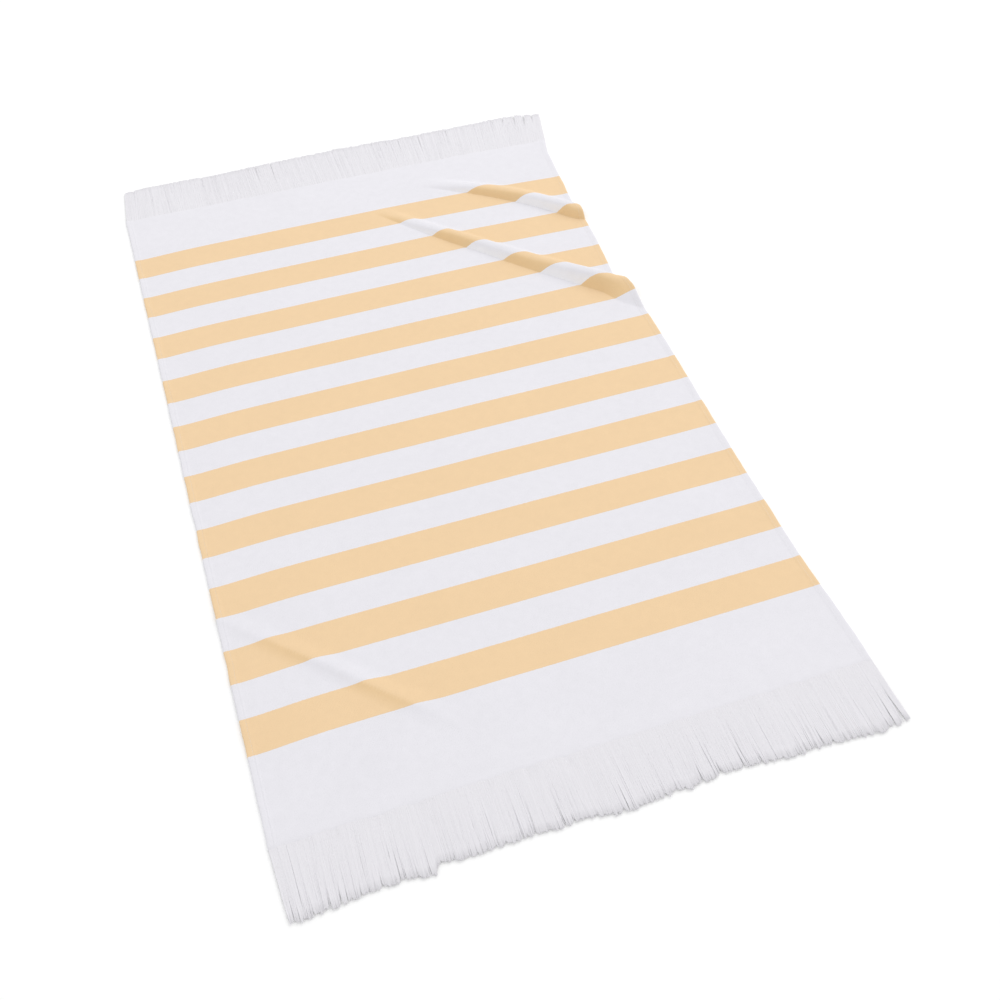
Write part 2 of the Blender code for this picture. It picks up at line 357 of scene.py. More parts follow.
columns = stations(WIDTH / 2, HEM_INSETS)
rows = stations(LENGTH / 2, END_INSETS)
print(len(columns), "columns and", len(rows), "rows")

# %% Build the cloth
HALVED_ABOVE = 0.0036
FOLD_MARGIN = 0.006
FOLD_END_MARGIN = 0.05
FOOT_PART = 3
NUDGE = 0.0005
SHADE_SIDE_FULL = 1.0


def in_a_fold(x, y, foot_only):
    """True for places in the reach of a fold, or only in that of its near foot."""
    inside = np.zeros(len(x), bool)
    for fold in FOLDS:
        along, across = fold_place(fold, x, y)
        near, far = fold_reach(fold, along)
        high = -near / FOOT_PART if foot_only else far + FOLD_MARGIN
        beside = (across > -near - FOLD_MARGIN) & (across < high)
        inside |= beside & (along > -FOLD_END_MARGIN) & (along < 1.0 + FOLD_END_MARGIN)
    return inside


def flat_sheet(name):
    """The flat cloth as a mesh grid, finer at its folds."""
    across, down = len(columns), len(rows)
    x, y = (grid.ravel() for grid in np.meshgrid(columns, rows))
    starts = np.arange(down - 1) * across
    corner = (starts[:, None] + np.arange(across - 1)).ravel()
    faces = np.stack([corner, corner + 1, corner + across + 1, corner + across], 1)
    mesh = bpy.data.meshes.new(name)
    mesh.from_pydata(np.stack([x, y, np.zeros(len(x))], 1).tolist(), [], faces.tolist())
    sheet = bmesh.new()
    sheet.from_mesh(mesh)
    for foot_only in (False, True):
        edges = list(sheet.edges)
        middle = np.array([(edge.verts[0].co + edge.verts[1].co) / 2 for edge in edges])
        long = np.array([edge.calc_length() for edge in edges]) > HALVED_ABOVE
        chosen = long & in_a_fold(middle[:, 0], middle[:, 1], foot_only)
        close = [edge for edge, wanted in zip(edges, chosen) if wanted]
        bmesh.ops.subdivide_edges(sheet, edges=close, cuts=1, use_grid_fill=True)
    sheet.to_mesh(mesh)
    sheet.free()
    return mesh


def shade_side_share(x, y):
    """How steeply the cloth rises away from the near side at each place, as a share of the full slope set
    above. That side faces away from the lamp, and the finish paints light and shade on it.
    """
    rise = lay(x + NUDGE, y + NUDGE)[:, 2] - lay(x - NUDGE, y - NUDGE)[:, 2]
    return np.clip(rise / (2.0 * math.sqrt(2.0) * NUDGE * SHADE_SIDE_FULL), 0.0, 1.0)


def towel_cloth(name):
    """The cloth as one closed sheet, with a map of flat places on it."""
    mesh = flat_sheet(name)
    places = np.empty(len(mesh.vertices) * 3)
    mesh.vertices.foreach_get("co", places)
    x, y, _ = places.reshape(-1, 3).T
    ends = np.empty(len(mesh.loops), int)
    mesh.loops.foreach_get("vertex_index", ends)
    flat = mesh.uv_layers.new(name="flat")
    flat.uv.foreach_set("vector", np.stack([x[ends], y[ends]], 1).ravel())
    # Where the cloth faces away from the lamp, for the painted light and shade of the finish
    shade_side = mesh.attributes.new("shade_side", "FLOAT", "POINT")
    shade_side.data.foreach_set("value", shade_side_share(x, y))
    mesh.vertices.foreach_set("co", lay(x, y).ravel())
    sheet = added(name + "_sheet", mesh)
    group = sheet.vertex_groups.new(name="thickness")
    for index, share in enumerate(thickness_share(x, y)):
        group.add([index], float(share), "REPLACE")
    wall = sheet.modifiers.new("thickness", "SOLIDIFY")
    wall.thickness = HEM_THICKNESS
    wall.offset = 1.0
    wall.vertex_group = group.name
    return sheet, len(mesh.loops)


def made_plain(source, name):
    """The evaluated object as a plain mesh object of its own. The source is removed."""
    evaluated = source.evaluated_get(bpy.context.evaluated_depsgraph_get())
    mesh = bpy.data.meshes.new_from_object(evaluated)
    mesh.name = name
    bpy.data.objects.remove(source)
    return added(name, mesh)


def triangle_count(piece):
    return sum(len(face.vertices) - 2 for face in piece.data.polygons)


sheet, sheet_loops = towel_cloth("towel")
cloth = made_plain(sheet, "towel")
cloth.data.shade_smooth()
print(cloth.name, "has", triangle_count(cloth), "triangles")

# %% [markdown]
# ## A map for baking
#
# When this model is exported, its finish is painted onto an image. That needs a second map, on which no
# two faces share a place. Solidify writes the faces of one side first, then the other side, then the rim,
# so the upper side gets the left half of the image, the underside the right half, and the rim a thin strip.

# %% Map the two sides apart
BAKE_MARGIN = 0.01
RIM_STRIP = 0.02
RIM_SPACING = 1.2
SAME_PLACE = 1e-6


def bake_map(cloth, sheet_loops):
    """A UV map named OFBake: one side, the other side and the rim, next to each other."""
    places = np.empty(len(cloth.data.loops) * 2, np.float32)
    cloth.data.uv_layers["flat"].uv.foreach_get("vector", places)
    share = places.reshape(-1, 2) / (WIDTH, LENGTH) + 0.5
    half = 0.5 - RIM_STRIP
    baked = np.empty_like(share)
    baked[:, 1] = BAKE_MARGIN + share[:, 1] * (1.0 - 2.0 * BAKE_MARGIN)
    baked[:, 0] = BAKE_MARGIN + share[:, 0] * (half - 2.0 * BAKE_MARGIN)
    first_rim = 2 * sheet_loops
    baked[sheet_loops:first_rim, 0] += half
    rim = share[first_rim:].reshape(-1, 4, 2)
    on_side = np.ptp(rim[:, :, 0], axis=1) < SAME_PLACE
    run = np.where(on_side[:, None], rim[:, :, 1], rim[:, :, 0])
    which = np.where(on_side, np.where(rim[:, 0, 0] < 0.5, 0, 1), np.where(rim[:, 0, 1] < 0.5, 2, 3))
    step = RIM_STRIP / 3
    inward = np.array([0.0, 0.0, 1.0, 1.0]) * step / 2
    strips = 2 * half + BAKE_MARGIN / 2 + which[:, None] * step * RIM_SPACING
    baked[first_rim:, 0] = (strips + inward).ravel()
    baked[first_rim:, 1] = (BAKE_MARGIN + run * (1.0 - 2.0 * BAKE_MARGIN)).ravel()
    layer = cloth.data.uv_layers.new(name="OFBake")
    layer.uv.foreach_set("vector", baked.ravel())
    return baked


baked = bake_map(cloth, sheet_loops)
print("The bake map runs from", np.round(baked.min(0), 3), "to", np.round(baked.max(0), 3))

# %% [markdown]
# ## Arithmetic with nodes
#
# A finish is a small calculation, done at every point of a surface. Written as nodes and links it is hard
# to read, so a small class wraps a socket and teaches it the usual operators: `1 - mask` then adds a Math
# node by itself. Vectors go through Vector Math in the same way, and one method adds any other node.

# %% Sockets that can be added and multiplied
def operator(operation, reflected=False):
    """A method that adds the node of one operator. A reflected one has its own value on the right."""

    def method(self, other):
        return self.math(operation, *((other, self) if reflected else (self, other)))

    return method


class Value:
    """The output socket of a node, with operators that add Math or Vector Math nodes to its tree."""

    __add__, __radd__ = operator("ADD"), operator("ADD", True)
    __sub__, __rsub__ = operator("SUBTRACT"), operator("SUBTRACT", True)
    __mul__, __rmul__ = operator("MULTIPLY"), operator("MULTIPLY", True)
    __truediv__, __rtruediv__ = operator("DIVIDE"), operator("DIVIDE", True)
    __lt__, __gt__, __pow__ = operator("LESS_THAN"), operator("GREATER_THAN"), operator("POWER")

    def __init__(self, tree, socket):
        self.tree = tree
        self.socket = socket

    def out(self, name):
        """Another output of the same node."""
        return Value(self.tree, self.socket.node.outputs[name])

    def math(self, operation, *operands):
        wide = any(isinstance(item, Value) and item.socket.type == "VECTOR" for item in operands)
        kind = "ShaderNodeVectorMath" if wide else "ShaderNodeMath"
        return self.tree.add(kind, {"operation": operation}, dict(enumerate(operands)))

    def fract(self):
        return self.math("FRACT", self)

    def floor(self):
        return self.math("FLOOR", self)

    def sin(self):
        return self.math("SINE", self)

    def clip(self):
        """The value, kept between 0 and 1."""
        return self.math("MINIMUM", self.math("MAXIMUM", self, 0.0), 1.0)

    def ease(self):
        """A smooth step from 0 to 1."""
        share = self.clip()
        return share * share * (3.0 - 2.0 * share)


class Tree:
    """A node tree of any kind, filled by calls."""

    def __init__(self, tree):
        self.tree = tree

    def add(self, kind, settings=None, sockets=None):
        """Adds a node: its settings first, then each socket's value or link. Returns its first output."""
        node = self.tree.nodes.new(kind)
        for name, value in (settings or {}).items():
            setattr(node, name, value)
        for key, value in (sockets or {}).items():
            if isinstance(value, Value):
                self.tree.links.new(value.socket, node.inputs[key])
            elif node.inputs[key].type == "VECTOR" and isinstance(value, (int, float)):
                node.inputs[key].default_value = (value, value, value)
            else:
                node.inputs[key].default_value = value
        shown = [socket for socket in node.outputs if socket.enabled]
        return Value(self, shown[0]) if shown else None

    def feed(self, value, shader, name):
        """Links a value to one of the shader's inputs."""
        self.tree.links.new(value.socket, shader.inputs[name])


def joined(nodes, x=0.0, y=0.0, z=0.0):
    """A vector from its three parts."""
    return nodes.add("ShaderNodeCombineXYZ", {}, {0: x, 1: y, 2: z})


def parted(nodes, vector):
    """The three parts of a vector, as the outputs X, Y and Z of one node."""
    return nodes.add("ShaderNodeSeparateXYZ", {}, {0: vector})


print("Value has", sum(name.startswith("__") for name in vars(Value)), "special members")

# %% [markdown]
# ## The towel's cotton
#
# The face of the towel is short cotton pile, dense and matt. Up close it is rows of tiny tufts. From a
# step back, it is an even, slightly clouded surface. The stripes are woven, so their edges are straight but
# a little ragged, as one row of pile leans over the next. Yellow and white stripes are equally wide.
#
# All of this is worked out on the flat map, in metres, so it follows the cloth over its folds. Two noises
# cloud the tone, a cell pattern makes the tufts, and the height of the tufts and a faint rib goes to Bump.
# On the steep near side of a fold, which faces away from the lamp, the colour holds painted light and shade:
# white is painted lighter there and yellow darker. The cloth's attribute for that side says where, and mixes
# in the two painted tones.

# %% Stripes
STRIPES = 10
FIRST_STRIPE = 0.6501
STRIPE_PITCH = 0.1355
STRIPE_WIDTH = 0.0680
STRIPE_SOFT = 0.0009
WHITE = (0.815, 0.804, 0.848)
# Painted tones for fold sides that face away from the lamp: a lighter white as painted light, a darker
# yellow as painted shade
PAINTED_LIGHT_WHITE = (0.880, 0.868, 0.890)
YELLOW = (0.872, 0.636, 0.386)
PAINTED_SHADE_YELLOW = (0.822, 0.580, 0.318)


def noise_of(nodes, place, scale, detail=2.0):
    """Smooth noise around 0.5."""
    return nodes.add(
        "ShaderNodeTexNoise",
        {"noise_dimensions": "3D"},
        {"Vector": place, "Scale": scale, "Detail": detail, "Roughness": 0.55},
    )


def stripe_mask(place_y):
    """1 on the yellow stripes and 0 on the white ones, from the place along the towel in metres."""
    count = (FIRST_STRIPE - place_y) / STRIPE_PITCH
    into = count.fract() * STRIPE_PITCH
    rising = (into / STRIPE_SOFT).clip()
    falling = ((STRIPE_WIDTH - into) / STRIPE_SOFT).clip()
    return rising * falling * (count > 0.0) * (count < STRIPES)


def mixed(nodes, factor, first, second):
    """Two colours mixed by a Mix node. Each is three numbers or another node's colour."""
    first, second = (item if isinstance(item, Value) else (*item, 1.0) for item in (first, second))
    return nodes.add("ShaderNodeMix", {"data_type": "RGBA"}, {0: factor, 6: first, 7: second}).out(2)


def painted(nodes, name):
    """The number stored on the piece's points under this name."""
    return nodes.add("ShaderNodeAttribute", {"attribute_name": name}).out("Fac")


def bumped(nodes, height, strength, distance, **normal):
    """A bump of this height, on the plain surface or on another bump."""
    return nodes.add(
        "ShaderNodeBump", {}, {"Strength": strength, "Distance": distance, "Height": height, **normal}
    )


def toned(nodes, colour, tone):
    """A colour, lighter or darker by a tone around 1."""
    return colour * joined(nodes, tone, tone, tone)


print("The stripes end at", round(FIRST_STRIPE - (STRIPES - 1) * STRIPE_PITCH - STRIPE_WIDTH, 3), "m")

# %% The towel's finish
PILE_GLOSS = {"Sheen Weight": 0.10, "Sheen Roughness": 0.55, "Specular IOR Level": 0.25}
TUFTS_PER_METRE = 620.0
CLOUDS_PER_METRE = 9.0
MOTTLE_PER_METRE = 60.0
HOLLOWS_PER_METRE = 22.0
RIBS_PER_METRE = 420.0
RAGGED_PER_METRE = 520.0
RAGGED_BY = 0.0022
TONE = 1.015
CLOUD_TONE = 0.04
MOTTLE_TONE = 0.06
TUFT_TONE = 0.07
ROUGHNESS = 0.88
MOTTLE_ROUGHNESS = 0.12
TUFT_HEIGHT = 0.8
RIB_HEIGHT = 0.12
MOTTLE_HEIGHT = 0.9
PILE_HEIGHT = 0.0006
PILE_BUMP = 0.35
SOFT_HOLLOW = 0.0014
HOLLOW_BUMP = 0.5


def towel_cotton():
    """Dense, matt pile with the woven stripes."""
    material, shader = plain_material("towel_cotton", WHITE, PILE_GLOSS)
    nodes = Tree(material.node_tree)
    flat = nodes.add("ShaderNodeUVMap", {"uv_map": "flat"})
    split = parted(nodes, flat)
    place_x, place_y = split.out("X"), split.out("Y")
    ragged = noise_of(nodes, flat, RAGGED_PER_METRE, 1.0) - 0.5
    stripes = stripe_mask(place_y + ragged * RAGGED_BY)

    clouds = noise_of(nodes, flat, CLOUDS_PER_METRE, 3.0) - 0.5
    mottle = noise_of(nodes, flat, MOTTLE_PER_METRE, 3.0) - 0.5
    tufts = nodes.add(
        "ShaderNodeTexVoronoi",
        {"voronoi_dimensions": "2D", "feature": "F1"},
        {"Vector": flat, "Scale": TUFTS_PER_METRE, "Randomness": 0.75},
    )
    tone = TONE + clouds * CLOUD_TONE + mottle * MOTTLE_TONE - tufts * TUFT_TONE
    # Painted light and shade: where a fold faces away from the lamp, white is painted lighter and yellow
    # darker
    shade_side = painted(nodes, "shade_side")
    white = mixed(nodes, (shade_side * 2.0 - 1.0).clip(), WHITE, PAINTED_LIGHT_WHITE)
    yellow = mixed(nodes, (shade_side * 2.0).clip(), YELLOW, PAINTED_SHADE_YELLOW)
    nodes.feed(toned(nodes, mixed(nodes, stripes, white, yellow), tone), shader, "Base Color")
    nodes.feed(ROUGHNESS + mottle * MOTTLE_ROUGHNESS, shader, "Roughness")

    ribs = (place_x * (RIBS_PER_METRE * math.tau)).sin() * RIB_HEIGHT
    pile = (1.0 - tufts) * TUFT_HEIGHT + ribs + mottle * MOTTLE_HEIGHT
    fine = bumped(nodes, pile, PILE_BUMP, PILE_HEIGHT)
    hollows = noise_of(nodes, flat, HOLLOWS_PER_METRE)
    nodes.feed(bumped(nodes, hollows, HOLLOW_BUMP, SOFT_HOLLOW, Normal=fine), shader, "Normal")
    return material


cloth.data.materials.clear()
cloth.data.materials.append(towel_cotton())
print("The towel's finish has", len(cloth.data.materials[0].node_tree.nodes), "nodes")

# %% [markdown]
# ## The fringe
#
# Each fringe is the towel's own warp, left unwoven: some two thousand soft yarns, lying side by side and
# over each other on the floor, as thick together as the cloth. They hang together in tufts that share a
# lean, and part only here and there towards the tips. A flat strip with a picture of yarns would have no
# tips, so Geometry Nodes copy one short curve to every place along the cloth's end.
#
# The tree starts from a guide: the edge of the cloth as a line of points. Each point knows the way to the
# fringe's tips, `run`, how high the cloth lies there, `lift`, how far a parting next to it pushes its yarns
# aside, `push`, and where they dip as they leave the cloth, `dip`. The tables' rows begin with a place along
# the edge. A reach adds how much longer the yarns are there, a parting how wide it opens and how far it
# pushes, and a dip its width. At the left-hand side the yarns lean a little inwards.

# %% Guides along the two ends
EDGE_STEP = 0.001
ROOT_INSET = 0.010
YARN_INSET = 0.0012
LEFT_LEAN = 0.011
LEFT_LEAN_REACH = 0.1
FAR_REACH = (
    (-0.5, 0.004), (-0.43, 0.008), (-0.25, 0.005), (-0.1, 0.011), (0.02, 0.014),
    (0.1, 0.013), (0.14, 0.009), (0.44, 0.012), (0.5, 0.003),
)
NEAR_REACH = (
    (-0.5, 0.008), (-0.47, 0.011), (-0.449, 0.0045), (-0.4, 0.003), (-0.385, 0.003),
    (-0.365, -0.001), (-0.325, -0.0035), (-0.304, -0.002), (-0.283, 0.006), (-0.275, 0.006),
    (-0.265, -0.008), (-0.24, -0.0035), (-0.218, -0.006), (-0.197, -0.003), (-0.17, -0.006),
    (-0.13, -0.006), (-0.11, -0.004), (-0.03, -0.005), (0.02, 0.006), (0.05, 0.002),
    (0.12, -0.002), (0.19, -0.007), (0.3, 0.002), (0.37, 0.001), (0.45, 0.012),
    (0.5, 0.004),
)
NEAR_PARTINGS = (
    (0.488, 0.01, 0.01), (0.388, 0.003, 0.016), (0.352, 0.0055, 0.01), (0.203, 0.0012, 0.02),
    (-0.036, 0.0018, 0.018), (-0.095, 0.0024, 0.02), (-0.23, 0.0012, 0.02), (-0.362, 0.0018, 0.02),
    (-0.43, 0.0045, 0.01), (-0.463, 0.003, 0.01),
)
FAR_PARTINGS = (
    (0.48, 0.006, 0.007), (0.458, 0.0085, 0.007), (0.434, 0.0085, 0.007), (0.406, 0.007, 0.007),
    (0.21, 0.002, 0.016), (-0.14, 0.0024, 0.018), (-0.31, 0.0022, 0.016),
)
NEAR_DIPS = (
    (-0.456, 0.022), (-0.4, 0.006), (-0.33, 0.018), (-0.27, 0.01), (-0.09, 0.01),
    (-0.03, 0.007), (0.317, 0.007), (0.376, 0.007),
)


def dip_at(x, dips):
    """Where the yarns dip as they leave the cloth, as a share, at each place along the edge."""
    share = np.zeros(len(x))
    for middle, width in dips:
        share += np.exp(-(((x - middle) / width) ** 4))
    return share


def push_at(x, partings):
    """How far the partings push the tips of the yarns aside, at each place along the edge."""
    push = np.zeros(len(x))
    for middle, opening, reach in partings:
        push += np.sign(x - middle) * opening / 2 * np.exp(-np.abs(x - middle) / reach)
    return push


def line_of(name, places, **attributes):
    """A mesh line through these places, with number or vector attributes on its points."""
    mesh = bpy.data.meshes.new(name)
    mesh.from_pydata(places.tolist(), [(index, index + 1) for index in range(len(places) - 1)], [])
    for label, values in attributes.items():
        wide = values.ndim == 2
        layer = mesh.attributes.new(label, "FLOAT_VECTOR" if wide else "FLOAT", "POINT")
        layer.data.foreach_set("vector" if wide else "value", values.ravel())
    return added(name, mesh)


def guide(name, end, reach, partings, dips):
    """The cloth's edge at one end, 1 for the far one, as a line of points with all that a yarn needs."""
    half = WIDTH / 2 - YARN_INSET
    x = np.linspace(-half, half, round(WIDTH / EDGE_STEP) + 1)
    root = lay(x, np.full(len(x), end * (LENGTH / 2 - ROOT_INSET)))
    tip = lay(x, end * (LENGTH / 2 + FRINGE + np.interp(x, *zip(*reach))))
    tip[:, 0] += LEFT_LEAN * smooth_step(1.0 - (x + WIDTH / 2) / LEFT_LEAN_REACH)
    lift = root[:, 2].copy()
    root[:, 2] = 0.0
    tip[:, 2] = 0.0
    push, dip = push_at(x, partings), dip_at(x, dips)
    return line_of(name, root, run=tip - root, lift=lift, push=push, dip=dip)


far_guide = guide("far_guide", 1, FAR_REACH, FAR_PARTINGS, ())
near_guide = guide("near_guide", -1, NEAR_REACH, NEAR_PARTINGS, NEAR_DIPS)
print("Each guide has", len(near_guide.data.vertices), "points")

# %% [markdown]
# ## The tree that grows the yarns
#
# The guide is resampled to one point for each yarn. A straight curve is copied to each, and the copies
# are made real so that every point of every yarn can be moved on its own. `along` runs from 0 at the root
# to 1 at the tip. What a yarn was dealt at its root is stored first, as later nodes only see points.
#
# Three one-dimensional cell patterns group the yarns into wide locks, tufts and fine wisps. Each yarn looks
# up the middle of its cell and leans towards it, more so near its tip. In the middle of a tuft it lies
# higher, so the tuft is crowned. In the middle of a wisp it is longer, so the wisp ends in a point. The
# input `Looseness` scales all that makes yarns stray. It is low for the far fringe, which lies calmer.

# %% Sockets of a geometry tree
GEOMETRY = {"Geometry": "Geometry"}


def geometry_tree(name, inputs):
    """A geometry tree with a geometry input, these named inputs, and a geometry output."""
    tree = bpy.data.node_groups.new(name, "GeometryNodeTree")
    for way, sockets in (("INPUT", GEOMETRY | inputs), ("OUTPUT", GEOMETRY)):
        for label, kind in sockets.items():
            tree.interface.new_socket(label, in_out=way, socket_type="NodeSocket" + kind)
    nodes = Tree(tree)
    return nodes, nodes.add("NodeGroupInput")


def grown(source, tree, values, name):
    """Runs the tree on the source with these inputs and returns the result as a plain mesh object."""
    modifier = source.modifiers.new("grow", "NODES")
    modifier.node_group = tree
    for item in tree.interface.items_tree:
        if item.in_out == "INPUT" and item.name in values:
            modifier[item.identifier] = values[item.name]
    source.update_tag()
    bpy.context.view_layer.update()
    return made_plain(source, name)


print("Every tree takes and gives", *GEOMETRY)

# %% Helpers for attributes and cells
CELL_UNEVEN = 0.9
CELL_SIDE = 0.15
CELL_END = 0.04


def stored(nodes, geometry, name, value, kind="FLOAT", domain="POINT"):
    """The geometry with a named attribute on it."""
    return nodes.add(
        "GeometryNodeStoreNamedAttribute",
        {"data_type": kind, "domain": domain},
        {"Geometry": geometry, "Name": name, "Value": value},
    )


def recalled(nodes, name, kind="FLOAT"):
    """A named attribute's value at each point."""
    return nodes.add("GeometryNodeInputNamedAttribute", {"data_type": kind}, {"Name": name})


def finished(nodes, given, geometry, bake_place):
    """Ends a tree: with its bake map, smooth, made real and with the material of its input."""
    mapped = stored(nodes, geometry, "OFBake", bake_place, "FLOAT2", "CORNER")
    smooth = nodes.add("GeometryNodeSetShadeSmooth", {}, {"Geometry": mapped})
    real = nodes.add("GeometryNodeRealizeInstances", {}, {"Geometry": smooth})
    dyed = {"Geometry": real, "Material": given.out("Material")}
    nodes.add("NodeGroupOutput", {}, {"Geometry": nodes.add("GeometryNodeSetMaterial", {}, dyed)})


def cell(nodes, place, size, offset):
    """A one-dimensional cell pattern: the middle of each place's cell, in metres, and two random shares."""
    pattern = nodes.add(
        "ShaderNodeTexVoronoi",
        {"voronoi_dimensions": "1D", "feature": "F1"},
        {"W": place + offset, "Scale": 1.0 / size, "Randomness": CELL_UNEVEN},
    )
    shares = parted(nodes, pattern.out("Color"))
    return pattern.out("W") - offset, shares.out("X"), shares.out("Y")


def bake_cell(nodes, number, across, along, per_row, row_count):
    """A place in a grid of cells on the bake image: one cell for each numbered copy."""
    share = number / per_row
    column = share.fract() * per_row
    map_x = (column + CELL_SIDE + (1.0 - 2.0 * CELL_SIDE) * across) / per_row
    map_y = (share.floor() + CELL_END + (1.0 - 2.0 * CELL_END) * along) / row_count
    return joined(nodes, map_x, map_y)


print("Each copy gets its own bake cell")

# %% Deal out the yarns
YARN_POINTS = 9
STRAND_LENGTH = 0.01
ROOT_SPREAD = 0.0005
THICK_LEAST, THICK_MOST = 0.85, 1.12
STRETCH_LEAST, STRETCH_MOST = -0.014, 0.010
SIZES = "Radius, Depth, Crown, Gather, Tuft Width, Lock Width, Wisp Width, Looseness".split(", ")
FRINGE_INPUTS = {"Yarns": "Int", **dict.fromkeys(SIZES, "Float"), "Seed": "Int", "Material": "Material"}


def straight_yarns(nodes, given):
    """One straight curve for each yarn, with all that the yarn was dealt stored on its points."""
    edge = nodes.add("GeometryNodeMeshToCurve", {}, {"Mesh": given.out("Geometry")})
    roots = nodes.add("GeometryNodeResampleCurve", {}, {"Curve": edge, "Count": given.out("Yarns")})
    number = nodes.add("GeometryNodeInputIndex")

    def chance(low, high, salt):
        return nodes.add(
            "FunctionNodeRandomValue",
            {"data_type": "FLOAT"},
            {2: low, 3: high, "ID": number, "Seed": given.out("Seed") + salt},
        )

    spread = joined(nodes, chance(-ROOT_SPREAD, ROOT_SPREAD, 1))
    roots = nodes.add("GeometryNodeSetPosition", {}, {"Geometry": roots, "Offset": spread})
    roots = stored(nodes, roots, "root", nodes.add("GeometryNodeInputPosition"), "FLOAT_VECTOR")
    for name, value in (
        ("yarn", number),
        ("layer", chance(0.0, 1.0, 2)),
        ("thick", chance(THICK_LEAST, THICK_MOST, 3)),
        ("stretch", chance(STRETCH_LEAST, STRETCH_MOST, 4)),
        ("wander", chance(-1.0, 1.0, 5)),
        ("tone", chance(0.0, 1.0, 7)),
    ):
        roots = stored(nodes, roots, name, value)

    end = (0.0, 0.0, STRAND_LENGTH)
    strand = nodes.add("GeometryNodeCurvePrimitiveLine", {"mode": "POINTS"}, {"End": end})
    strand = nodes.add("GeometryNodeResampleCurve", {}, {"Curve": strand, "Count": YARN_POINTS})
    strand = stored(nodes, strand, "along", nodes.add("GeometryNodeSplineParameter"))
    copies = nodes.add("GeometryNodeInstanceOnPoints", {}, {"Points": roots, "Instance": strand})
    return nodes.add("GeometryNodeRealizeInstances", {}, {"Geometry": copies})


print("The fringe tree takes", ", ".join(FRINGE_INPUTS))

# %% [markdown]
# A yarn's place is its root, plus a share of the way to its tip, plus a move sideways and up. The root lies
# flat in the cloth, under its edge. Yarns low in the heap are held by those above, so they lean less. A
# ripple, smooth noise from yarn to neighbouring yarn, keeps them from lying like rulers.
#
# In the names below, GATHER pulls yarns towards the middle of their cell, LEAN turns a whole cell aside, and
# REACH makes it longer or shorter. POWER says how late along the yarn a move sets in, and BY over how much
# of its length.

# %% Where each yarn lies
ROOT_SHARE = ROOT_INSET / (ROOT_INSET + FRINGE)
YARN_FLAT = 0.65
SEED_SHIFT, LOCK_SHIFT, WISP_SHIFT = 3.7, 1.3, 2.9
LEAN_POWER, LOCK_POWER, WISP_POWER, PUSH_POWER = 1.7, 1.4, 5.0, 3.0
LOCK_GATHER, WISP_GATHER = 0.007, 0.11
LOCK_LEAN, TUFT_LEAN, WISP_LEAN, STRAY_LEAN = 0.0022, 0.0010, 0.0009, 0.0004
HELD_SHARE, HELD_LAYERS = 0.25, 0.6
RIPPLE_ACROSS, RIPPLE_ALONG, RIPPLE_SIDEWAYS = 0.13, 2.2, 0.003
RIPPLE_LOW, RIPPLE_UP = 0.35, 0.0006
CROWN_NARROW, CROWN_BY = 1.6, 0.3
ROOT_LEVEL, LEVEL_POWER, LOOSE_BY = 0.88, 0.16, 0.75
TIP_THINNING, LIFT_BY = 0.1, 0.5
DIP_DEPTH, DIP_START, DIP_UNTIL, DIP_FADE = 0.55, 0.5, 1.4, 0.25
LOCK_MIDDLE, LOCK_REACH, TUFT_REACH, WISP_REACH, WISP_POINT = 0.6, 0.03, 0.02, 0.045, 0.09


